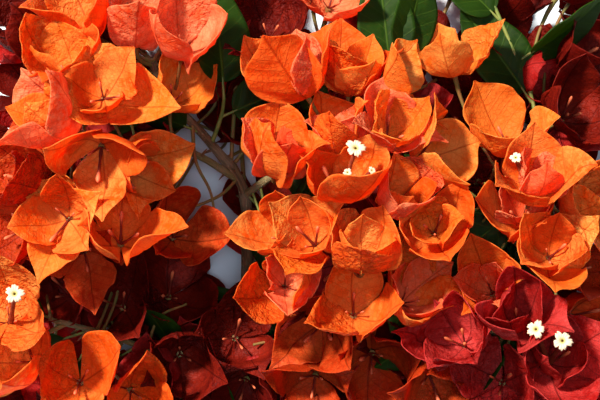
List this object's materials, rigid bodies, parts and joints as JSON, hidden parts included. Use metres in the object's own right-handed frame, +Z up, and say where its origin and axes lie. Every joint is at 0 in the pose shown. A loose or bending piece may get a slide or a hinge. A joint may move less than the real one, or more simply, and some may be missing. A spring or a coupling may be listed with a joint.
{
  "type": "bougainvillea flowering branch",
  "caption": "Cut branch of orange bougainvillea, lying down: a woody stem and shoots that carry papery three-bract blooms with small white florets, and a few leaves.",
  "frame": {"origin": "on the surface that the branch lies on, under the middle of its bounding box", "axes": "+Z up from that surface, +X to the right across the branch as seen from above, +Y the way the stem grows, away from its cut end"},
  "size_m": [0.2919, 0.2409, 0.1153],
  "materials": {
    "bark": "matte",
    "leaf": "satin",
    "bract_orange": "matte",
    "bract_amber": "matte",
    "bract_coral": "matte",
    "bract_scarlet": "matte",
    "bract_crimson": "matte",
    "floret": "matte",
    "stalk": "matte"
  },
  "bodies": {
    "root": {"main_stem": "bark", "left_shoot": "bark", "upper_centre_shoot": "bark", "lower_centre_shoot": "bark", "right_shoot": "bark", "low_right_shoot": "bark", "low_left_shoot": "bark", "right_leafy_shoot": "leaf", "centre_leafy_shoot": "leaf", "left_leafy_shoot": "leaf", "centre_bloom_01": "bract_orange", "centre_bloom_02": "bract_orange", "centre_bloom_03": "bract_amber", "centre_bloom_04": "bract_orange", "centre_bloom_05": "bract_orange", "centre_bloom_06": "bract_amber", "centre_bloom_07": "bract_orange", "centre_bloom_08": "bract_orange", "centre_bloom_09": "bract_coral", "centre_bloom_10": "bract_orange", "centre_bloom_11": "bract_orange", "centre_bloom_12": "bract_amber", "centre_bloom_13": "bract_orange", "centre_bloom_14": "bract_coral", "centre_bloom_15": "bract_orange", "centre_bloom_16": "bract_orange", "left_bloom_01": "bract_amber", "left_bloom_02": "bract_orange", "left_bloom_03": "bract_amber", "left_bloom_04": "bract_coral", "left_bloom_05": "bract_coral", "left_bloom_06": "bract_orange", "left_bloom_07": "bract_amber", "left_bloom_08": "bract_orange", "left_bloom_09": "bract_coral", "left_bloom_10": "bract_coral", "left_bloom_11": "bract_orange", "left_bloom_12": "bract_scarlet", "left_bloom_13": "bract_coral", "right_bloom_01": "bract_coral", "right_bloom_02": "bract_scarlet", "right_bloom_03": "bract_orange", "right_bloom_04": "bract_orange", "right_bloom_05": "bract_amber", "right_bloom_06": "bract_orange", "right_bloom_07": "bract_scarlet", "low_right_bloom_01": "bract_scarlet", "low_right_bloom_02": "bract_scarlet", "low_right_bloom_03": "bract_crimson", "low_right_bloom_04": "bract_crimson", "low_left_bloom_01": "bract_amber", "low_left_bloom_02": "bract_orange", "top_back_cyme": "bract_scarlet", "middle_back_cyme": "bract_crimson", "centre_back_cyme": "bract_scarlet", "left_back_cyme": "bract_crimson", "upper_right_back_cyme": "bract_scarlet", "low_centre_back_cyme": "bract_scarlet", "low_left_back_cyme": "bract_scarlet", "right_back_cyme": "bract_crimson"}
  },
  "joints": []
}
